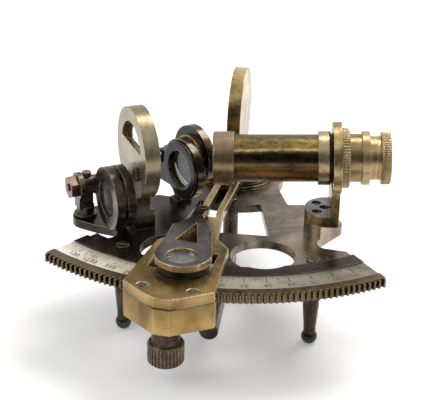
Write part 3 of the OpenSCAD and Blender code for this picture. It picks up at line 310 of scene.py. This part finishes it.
AGED = {
    "frame_bronze": dict(
        dark=(0.065, 0.048, 0.032), mid=(0.2, 0.158, 0.115), light=(0.33, 0.275, 0.212),
        edge=(0.44, 0.34, 0.2), rough=(0.2, 0.36), grain=60, contrast=0.2, coat=0.12,
        # painted reflection: the plate is darker to the left and brighter to the right
        brightness_ramp=(X, 0.0, 0.022, 0.22, 1.5),
        # the third band is painted shade in the gaps between the teeth; the fourth gives the tips a lighter bronze
        bands=((68.4, 68.9, (0.065, 0.043, 0.028)), (80.5, 82.5, (0.15, 0.105, 0.055)),
               (84.9, 85.0, (0.04, 0.028, 0.018)), (85.45, 85.7, (0.14, 0.098, 0.052)))),
    "leg_bronze": dict(
        dark=(0.014, 0.01, 0.007), mid=(0.055, 0.04, 0.027), light=(0.13, 0.1, 0.07),
        edge=(0.36, 0.27, 0.17), rough=(0.18, 0.34), grain=150, coat=0.2),
    "arm_brass": dict(
        dark=(0.2, 0.125, 0.048), mid=(0.37, 0.25, 0.1), light=(0.53, 0.385, 0.17),
        edge=(1.0, 0.82, 0.48), rough=(0.2, 0.34), grain=50, contrast=0.18, coat=0.08, pits=0.05,
        edge_r=0.0009, wear=1.0, fine_grain=0.12, ragged=0.7, brightness_ramp=(Z, 0.0294, 0.0316, 0.6, 1.0), seam=SEAM),
    "block_brass": dict(
        dark=(0.13, 0.072, 0.026), mid=(0.34, 0.222, 0.078), light=(0.53, 0.375, 0.145),
        edge=(0.95, 0.78, 0.44), rough=(0.2, 0.34), grain=75, contrast=0.17, coat=0.08, pits=0.05,
        edge_r=0.0007, streak=((160, 160, 60), 0), fine_grain=0.12, ragged=0.7,
        brightness_ramp=(Z, 0.0212, 0.0296, 1.2, 0.6), seam=SEAM),
    "bracket_brass": dict(
        dark=(0.1, 0.068, 0.028), mid=(0.37, 0.265, 0.115), light=(0.62, 0.475, 0.25),
        edge=(0.8, 0.66, 0.4), grain=110, coat=0.1, pits=0.1, fine_grain=0.15,
        brightness_ramp=(Z, 0.034, 0.045, 0.75, 1.1), top=(0.04, (0.2, 0.2, 0.21))),
    "ring_bronze": dict(
        dark=(0.17, 0.11, 0.06), mid=(0.27, 0.185, 0.11), light=(0.38, 0.28, 0.18),
        edge=(0.62, 0.5, 0.3), grain=120, contrast=0.22, coat=0.1, fine_grain=0.1, pits=0.08,
        streak=((2600, 90, 90), SCOPE_AZ)),
    "lock_brass": dict(
        dark=(0.15, 0.095, 0.045), mid=(0.35, 0.25, 0.125), light=(0.56, 0.43, 0.25),
        edge=(0.85, 0.7, 0.42), grain=120, contrast=0.13, coat=0.08, fine_grain=0.12, pits=0.08,
        streak=((1900, 60, 60), SCOPE_AZ)),
    "draw_brass": dict(
        dark=(0.15, 0.09, 0.038), mid=(0.37, 0.26, 0.12), light=(0.58, 0.44, 0.245),
        edge=(0.85, 0.7, 0.42), grain=120, contrast=0.13, coat=0.08, fine_grain=0.12, pits=0.08,
        streak=((1300, 60, 60), SCOPE_AZ)),
    "horizon_brass": dict(
        dark=(0.19, 0.145, 0.08), mid=(0.31, 0.25, 0.16), light=(0.44, 0.375, 0.27),
        edge=(0.8, 0.7, 0.52), rough=(0.2, 0.34), grain=70, contrast=0.22, coat=0.08, pits=0.05,
        fine_grain=0.1, streak=((420, 420, 50), 0), brightness_ramp=(Z, 0.034, 0.052, 0.3, 1.0)),
    "index_brass": dict(
        dark=(0.16, 0.105, 0.035), mid=(0.42, 0.31, 0.125), light=(0.62, 0.49, 0.25),
        edge=(0.85, 0.72, 0.44), rough=(0.2, 0.36), grain=70, coat=0.08, pits=0.05, fine_grain=0.12,
        brightness_ramp=(Z, 0.036, 0.06, 0.45, 1.1)),
    "knurl_bronze": dict(
        dark=(0.01, 0.007, 0.005), mid=(0.045, 0.03, 0.019), light=(0.1, 0.07, 0.045),
        edge=(0.62, 0.48, 0.3), grain=200, edge_r=0.0004, wear=1.0, fine_grain=0.12, pits=0.1),
    "stand_bronze": dict(
        dark=(0.02, 0.016, 0.012), mid=(0.08, 0.062, 0.045), light=(0.22, 0.175, 0.125),
        edge=(0.5, 0.42, 0.3), grain=200, coat=0.2),
    "copper": dict(
        dark=(0.05, 0.03, 0.022), mid=(0.16, 0.1, 0.07), light=(0.32, 0.22, 0.16),
        edge=(0.6, 0.45, 0.34), grain=300),
    "cell_brass": dict(
        dark=(0.13, 0.07, 0.03), mid=(0.36, 0.23, 0.09), light=(0.52, 0.38, 0.18),
        edge=(0.7, 0.55, 0.3), grain=240),
    "post_bronze": dict(
        dark=(0.02, 0.015, 0.01), mid=(0.08, 0.06, 0.04), light=(0.18, 0.14, 0.09),
        edge=(0.45, 0.37, 0.26), grain=260),
    "screw_steel": dict(
        dark=(0.04, 0.032, 0.022), mid=(0.15, 0.12, 0.085), light=(0.28, 0.24, 0.18),
        edge=(0.5, 0.43, 0.32), grain=400),
    "arm_screw": dict(
        dark=(0.09, 0.065, 0.035), mid=(0.2, 0.155, 0.1), light=(0.3, 0.25, 0.17),
        edge=(0.5, 0.42, 0.29), grain=400),
}


def tube():
    """Patina in streaks and blotches round the tube, over painted reflection bands and a painted highlight line,
    with painted black shade beside its carrying ring.
    """
    s = Surface("tube_patina")
    shift = s.fill(s.node("VectorMath", operation="SUBTRACT"), s.co, SCOPE).outputs[0]
    own = s.turned(s.turned(shift, "Z_AXIS", -SCOPE_AZ), "Y_AXIS", SCOPE_TILT)
    along, side, up = s.split(own)
    angle = s.math("ARCTAN2", up, s.times(side, -1.0))

    def wrapped(per_metre, per_radian, layer, detail, rough, distort=0.0):
        """Noise laid round the tube; each pattern is cut from a layer of its own."""
        at = s.join(s.times(along, per_metre), s.times(angle, per_radian), layer)
        return s.noise(1.0, detail, rough, at=at, distort=distort)

    streaks = wrapped(110, 2.6, 3.0, 5, 0.62, 0.7)
    flecks = wrapped(520, 5, 8.0, 5, 0.65)
    blots = wrapped(60, 1.4, 21.0, 4, 0.6, 0.4)
    hues = wrapped(150, 3.2, 55.0, 4, 0.6, 0.6)
    rings = wrapped(6000, 2, 0.0, 2, 0.5)

    place = s.span(angle, math.radians(-90), math.radians(180))   # 0 below, 1/3 in front, 2/3 on top, 1 behind
    place = s.plus(place, s.span(streaks, 0.3, 0.7, -0.007, 0.007))
    place = s.plus(place, s.span(flecks, 0.3, 0.7, -0.003, 0.003))
    # painted reflection: dark bands below and in front, brown bands, and a painted highlight line between the
    # front and the top
    col = s.ramp(place, [
        (0.0, (0.03, 0.02, 0.012)), (0.17, (0.03, 0.018, 0.01)), (0.235, (0.14, 0.08, 0.032)),
        (0.285, (0.22, 0.135, 0.05)), (0.335, (0.05, 0.03, 0.013)), (0.36, (0.16, 0.115, 0.05)),
        (0.38, (0.07, 0.05, 0.023)), (0.45, (0.05, 0.038, 0.018)), (0.475, (0.16, 0.115, 0.045)),
        (0.493, (0.75, 0.6, 0.33)), (0.51, (0.27, 0.2, 0.08)), (0.56, (0.13, 0.1, 0.042)),
        (0.66, (0.12, 0.1, 0.052)), (1.0, (0.06, 0.05, 0.035))])
    mottle = s.ramp(s.blend(blots, flecks, 0.35),
                    [(0.36, (0.22, 0.2, 0.18)), (0.48, (0.8, 0.78, 0.7)), (0.62, (1.7, 1.4, 0.85))])
    col = s.mix(1.0, col, mottle, "MULTIPLY")

    upper = s.span(place, 0.5, 0.53)
    orange = s.times(s.span(hues, 0.52, 0.62), upper)
    green = s.times(s.span(hues, 0.46, 0.36), upper)
    col = s.mix(s.times(orange, 0.5), col, (0.3, 0.17, 0.05))
    col = s.mix(s.times(green, 0.5), col, (0.1, 0.105, 0.045))
    right = s.times(s.span(along, -0.02, -0.008), s.span(place, 0.34, 0.3))
    red = s.times(s.span(hues, 0.42, 0.58), s.span(right, 0.0, 1.0, 0.25, 0.85))
    col = s.mix(s.times(red, s.span(place, 0.4, 0.34)), col, (0.2, 0.075, 0.03))

    belt = s.below(s.off(along, -0.0040), 0.00186)
    col = s.mix(belt, col, s.two(streaks, (0.28, 0.2, 0.11), (0.6, 0.46, 0.28)))
    tail = s.above(along, 0.001)
    col = s.mix(tail, col, s.two(streaks, (0.17, 0.115, 0.05), (0.4, 0.29, 0.14)))
    # painted shade: a black band in the gap beside the carrying ring
    painted_gap_shade = s.times(s.above(along, -0.0026), s.below(along, -0.0012))
    col = s.mix(painted_gap_shade, col, (0.008, 0.006, 0.005))
    soft = s.round_edges(0.0003)
    col = s.mix(s.times(s.edge_wear_and_highlight(soft), 0.6), col, (0.66, 0.54, 0.34))
    return s.set(color=col, metal=0.92, rough=s.span(flecks, 0.3, 0.7, 0.2, 0.38), coat=0.1,
                 coat_rough=COAT_ROUGH, normal=s.bump(s.plus(s.times(rings, 0.2), flecks), 0.1, 0.00005, soft))


def level(az):
    """A level direction, turned from X towards Y."""
    return math.cos(math.radians(az)), math.sin(math.radians(az)), 0


def two_sided(name, axis, face, rim, edge, rough=(0.2, 0.38), round_r=0.0003):
    """A piece whose faces along an axis and rim have aged differently; both are given as dark and light."""
    s = Surface(name)
    flat = s.span(s.along(axis), 0.5, 0.8)
    small = s.noise(1100, 3, 0.6)
    body = s.blend(s.noise(170, 5, 0.6, distort=0.5), small, 0.14)
    rim_col = s.ramp(body, [(0.36, rim[0]), (0.64, rim[1])])
    face_col = s.ramp(body, [(0.34, face[0]), (0.66, face[1])])
    col = s.mix(flat, rim_col, face_col)
    soft = s.round_edges(round_r)
    col = s.mix(s.times(s.rubbed_edges_and_highlight(soft, 420, 0.6), 0.85), col, edge)
    return s.set(color=col, metal=0.85, rough=s.span(small, 0.3, 0.7, *rough), coat=0.3, coat_rough=COAT_ROUGH,
                 normal=s.bump(s.plus(body, s.noise(2600, 2)), 0.06, 0.00005, soft))


def silver(name, shift, step, tall, centre=0.0, edge=74.1, outward=1.0):
    """Silvered strip with fine dark divisions. Angles are in degrees and distances in millimetres.

    shift and step: how far the divisions are shifted, and the smallest one. tall: the shortest line's reach.
    centre: the angle that the divisions are counted from. edge: the radius that the lines start from.
    outward: 1 for lines that run away from the arm's axis, -1 for lines towards it.
    """
    s = Surface(name)
    r, a = s.polar()
    a = s.minus(a, centre)
    wear = s.noise(160, 5, 0.65, distort=0.8)
    col = s.ramp(wear, [(0.3, (0.2, 0.165, 0.115)), (0.44, (0.38, 0.34, 0.265)),
                        (0.58, (0.52, 0.48, 0.395)), (0.72, (0.68, 0.64, 0.55))])
    # painted reflection: the strip is brighter towards its left end and darker towards its right
    col = s.scaled(col, s.span(a, -34 - centre, 32 - centre, 2.3, 0.55))
    height = s.times(s.minus(r, edge), outward)
    ink = None
    for steps, reach, wide in ((1, tall, 0.07), (5, tall * 1.55, 0.08), (10, tall * 2.3, 0.09)):
        near = s.math("PINGPONG", s.plus(a, shift + 720 * step * steps), step * steps / 2)
        line = s.times(s.below(near, wide), s.below(height, reach))
        ink = line if ink is None else s.most(ink, line)
    ink = s.times(ink, s.above(height, 0.25))
    col = s.mix(s.times(ink, 0.85), col, (0.03, 0.026, 0.02))
    rim = s.below(s.off(height, 0.2), 0.05)
    col = s.mix(s.times(rim, 0.6), col, (0.05, 0.04, 0.03))
    return s.set(color=col, metal=0.55, rough=s.span(wear, 0.3, 0.7, 0.38, 0.22),
                 normal=s.bump(s.minus(wear, ink), 0.1, 0.00004, s.round_edges(0.0001)))


def black_cell():
    s = Surface("cell_black")
    n = s.noise(300, 4)
    soft = s.round_edges(0.0003)
    col = s.two(n, (0.004, 0.004, 0.004), (0.02, 0.017, 0.013))
    col = s.mix(s.times(s.edge_wear_and_highlight(soft), 0.35), col, (0.22, 0.16, 0.09))
    return s.set(color=col, metal=0.2, rough=s.span(n, 0.3, 0.7, 0.22, 0.45), normal=s.bump(n, 0.15, 0.0001, soft))


def glass(name, tint, haze):
    """Tinted glass with a little dust; haze is how far it acts as an opaque surface."""
    s = Surface(name)
    n = s.noise(120, 2, 0.5)
    dust = s.ramp(s.noise(1800, 2), [(0.66, 0.0), (0.78, 1.0)])
    col = s.mix(s.times(dust, 0.05), s.two(n, tinted(0.92, tint), tint), (0.7, 0.7, 0.66))
    return s.set(color=col, rough=s.span(n, 0.3, 0.7, 0.0, 0.01), through=1.0 - haze, ior=1.46)


def mirror(name, clear_above=None):
    """Silvered glass; the horizon glass is clear above a height."""
    s = Surface(name)
    n = s.noise(420, 5, 0.7)
    spots = s.ramp(s.noise(900, 3, 0.6), [(0.66, 0.0), (0.74, 1.0)])
    col = s.mix(s.times(spots, 0.35), s.two(n, (0.7, 0.72, 0.72), (0.86, 0.87, 0.87)), (0.25, 0.2, 0.14))
    rough = s.span(n, 0.3, 0.7, 0.02, 0.06)
    if clear_above is None:
        return s.set(color=col, metal=1.0, rough=rough)
    back = s.below(s.split(s.co)[Z], clear_above)
    return s.set(color=s.mix(back, (0.93, 0.95, 0.95), col), metal=back, through=s.minus(1.0, back),
                 rough=s.times(rough, back), ior=1.3)


mats = {name: aged(name, **look) for name, look in AGED.items()}
mats["tube_patina"] = tube()
mats["far_shade_bronze"] = two_sided(
    "far_shade_bronze", level(212), ((0.04, 0.032, 0.024), (0.16, 0.135, 0.105)),
    ((0.016, 0.011, 0.008), (0.12, 0.085, 0.058)), (0.66, 0.55, 0.42))
mats["near_shade_black"] = two_sided(
    "near_shade_black", level(222), ((0.003, 0.003, 0.003), (0.011, 0.011, 0.011)),
    ((0.018, 0.013, 0.009), (0.11, 0.08, 0.052)), (0.4, 0.32, 0.22), rough=(0.16, 0.3))
mats["loupe_bronze"] = two_sided(
    "loupe_bronze", UP, ((0.035, 0.027, 0.024), (0.125, 0.1, 0.096)),
    ((0.26, 0.17, 0.075), (0.72, 0.54, 0.3)), (1.0, 0.84, 0.56), round_r=0.0005)
mats["silver_scale"] = silver("silver_scale", 2.5, 0.5, 1.5)
mats["vernier"] = silver("vernier_silver", 0.0, 0.54, 1.1, centre=ARM_REST, edge=73.7, outward=-1.0)
mats["cell_black"] = black_cell()
mats["shade_glass"] = glass("shade_glass", (0.33, 0.34, 0.33), 0.2)
mats["lens_glass"] = glass("lens_glass", (0.9, 0.93, 0.93), 0.08)
mats["mirror_glass"] = mirror("mirror_glass")
mats["horizon_mirror"] = mirror("horizon_glass", 0.0567)

slot_of = {p["node"]: p["material_slot"] for p in frame["record"]["subparts"]}
for name, obj in nodes.items():
    if name.startswith(("leg_front", "leg_rear", "handle")):
        look = "leg_bronze"
    elif name in ("vernier", "horizon_mirror"):
        look = name
    else:
        look = slot_of[name]
    obj.data.materials.clear()
    obj.data.materials.append(mats[look])


# --------------------------------------------------------------- scale numbers

def number(text):
    """The outlines of a number as a thin mesh, centred on its own origin."""
    curve = bpy.data.curves.new("n" + text, "FONT")
    curve.body = text
    curve.size = NUMBER_SIZE
    curve.align_x = "CENTER"
    curve.align_y = "CENTER"
    curve.extrude = 0.00001
    curve.offset = 0.00003
    curve.resolution_u = 3
    holder = bpy.data.objects.new("n" + text, curve)
    scene.collection.objects.link(holder)
    bpy.context.view_layer.update()
    mesh = bpy.data.meshes.new_from_object(holder.evaluated_get(bpy.context.evaluated_depsgraph_get()))
    bpy.data.objects.remove(holder)
    return mesh


def scale_numbers():
    verts, faces = [], []
    for i in range(NUMBER_COUNT):
        a = math.radians(SCALE_ZERO - NUMBER_STEP * i)
        mesh = number(str(10 * i))
        at = (NUMBER_AT * math.sin(a), PIVOT_Y - NUMBER_AT * math.cos(a), SCALE_TOP + ABOVE_SCALE)
        place = Matrix.Translation(at) @ Matrix.Rotation(a, 4, "Z")
        base = len(verts)
        verts += [place @ v.co for v in mesh.vertices]
        faces += [[base + k for k in f.vertices] for f in mesh.polygons]
        bpy.data.meshes.remove(mesh)
    mesh = bpy.data.meshes.new("scale_numbers")
    mesh.from_pydata(verts, [], faces)
    obj = bpy.data.objects.new("scale_numbers", mesh)
    scene.collection.objects.link(obj)
    s = Surface("engraving")
    n = s.noise(900, 3)
    mesh.materials.append(s.set(color=s.two(n, (0.05, 0.042, 0.03), (0.2, 0.175, 0.135)), rough=0.5,
                                metal=0.4, normal=s.bump(n, 0.1, 0.00003)))
    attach(obj, "frame")


scale_numbers()


# ------------------------------------------------------------- room and camera

def floor():
    """A wide floor that glows a little where the camera sees it, so that it comes out white."""
    mesh = bpy.data.meshes.new("floor")
    w = 4.0
    mesh.from_pydata([(-w, -w, 0), (w, -w, 0), (w, w, 0), (-w, w, 0)], [], [(0, 1, 2, 3)])
    obj = bpy.data.objects.new("floor", mesh)
    scene.collection.objects.link(obj)
    s = Surface("floor")
    plain = s.fill(s.node("BsdfDiffuse"), (0.9, 0.885, 0.87))
    lit = s.fill(s.node("BsdfDiffuse"), (0.88, 0.872, 0.862))
    glow = s.fill(s.node("Emission"), (0.235, 0.235, 0.235))
    both = s.fill(s.node("AddShader"), lit.outputs[0], glow.outputs[0])
    s.tree.nodes.remove(s.bsdf)
    s.put(s.out.inputs[0], s.pick(s.seen(), plain, both))
    mesh.materials.append(s.mat)


def world():
    """Even soft light. Reflections and glass show a sky that darkens towards the front."""
    w = bpy.data.worlds.new("studio")
    scene.world = w
    w.use_nodes = True
    k = Kit(w.node_tree)
    soft = k.fill(k.node("Background"), (0.98, 0.99, 1.0), 0.55)
    x, y, z = k.split(k.node("TexCoord").outputs["Generated"])
    rear = k.plus(k.plus(y, k.times(z, 0.55)), k.times(x, 0.25))
    bright = k.span(rear, -0.6, 0.2, 0.08, 1.0, "SMOOTHSTEP")
    back = k.node("Background")
    k.put(back.inputs["Strength"], k.most(bright, k.node("LightPath").outputs["Is Camera Ray"]))
    k.put(k.node("OutputWorld").inputs[0], k.pick(k.seen(), soft, back))


def lamp(name, place, aim, size, power, color):
    data = bpy.data.lights.new(name, "AREA")
    data.shape = "DISK"
    data.size = size
    data.energy = power
    data.color = color
    obj = bpy.data.objects.new(name, data)
    obj.location = place
    obj.rotation_mode = "QUATERNION"
    obj.rotation_quaternion = (Vector(aim) - Vector(place)).to_track_quat("-Z", "Y")
    scene.collection.objects.link(obj)


def camera():
    az, el, roll = (math.radians(v) for v in CAMERA_TURN)
    back = Vector((math.sin(az) * math.cos(el), -math.cos(az) * math.cos(el), math.sin(el)))
    flat = Vector((math.cos(az), math.sin(az), 0))
    up = back.cross(flat)
    right = math.cos(roll) * flat + math.sin(roll) * up
    top = -math.sin(roll) * flat + math.cos(roll) * up
    data = bpy.data.cameras.new("camera")
    data.sensor_width = SENSOR
    data.lens = FOCAL * SENSOR / PHOTO_WIDTH
    data.clip_start = 0.01
    data.clip_end = 20
    obj = bpy.data.objects.new("camera", data)
    obj.matrix_world = Matrix.Translation(CAMERA_AT) @ Matrix((right, top, back)).transposed().to_4x4()
    scene.collection.objects.link(obj)
    scene.camera = obj


floor()
world()
lamp("key", (0.22, 0.3, 0.62), (0, -0.01, 0.02), 0.42, 3.6, (1, 0.985, 0.96))
lamp("fill", (-0.45, -0.3, 0.5), (0, -0.02, 0.03), 0.5, 1.3, (0.97, 0.98, 1))
camera()
scene.view_settings.view_transform = "Standard"
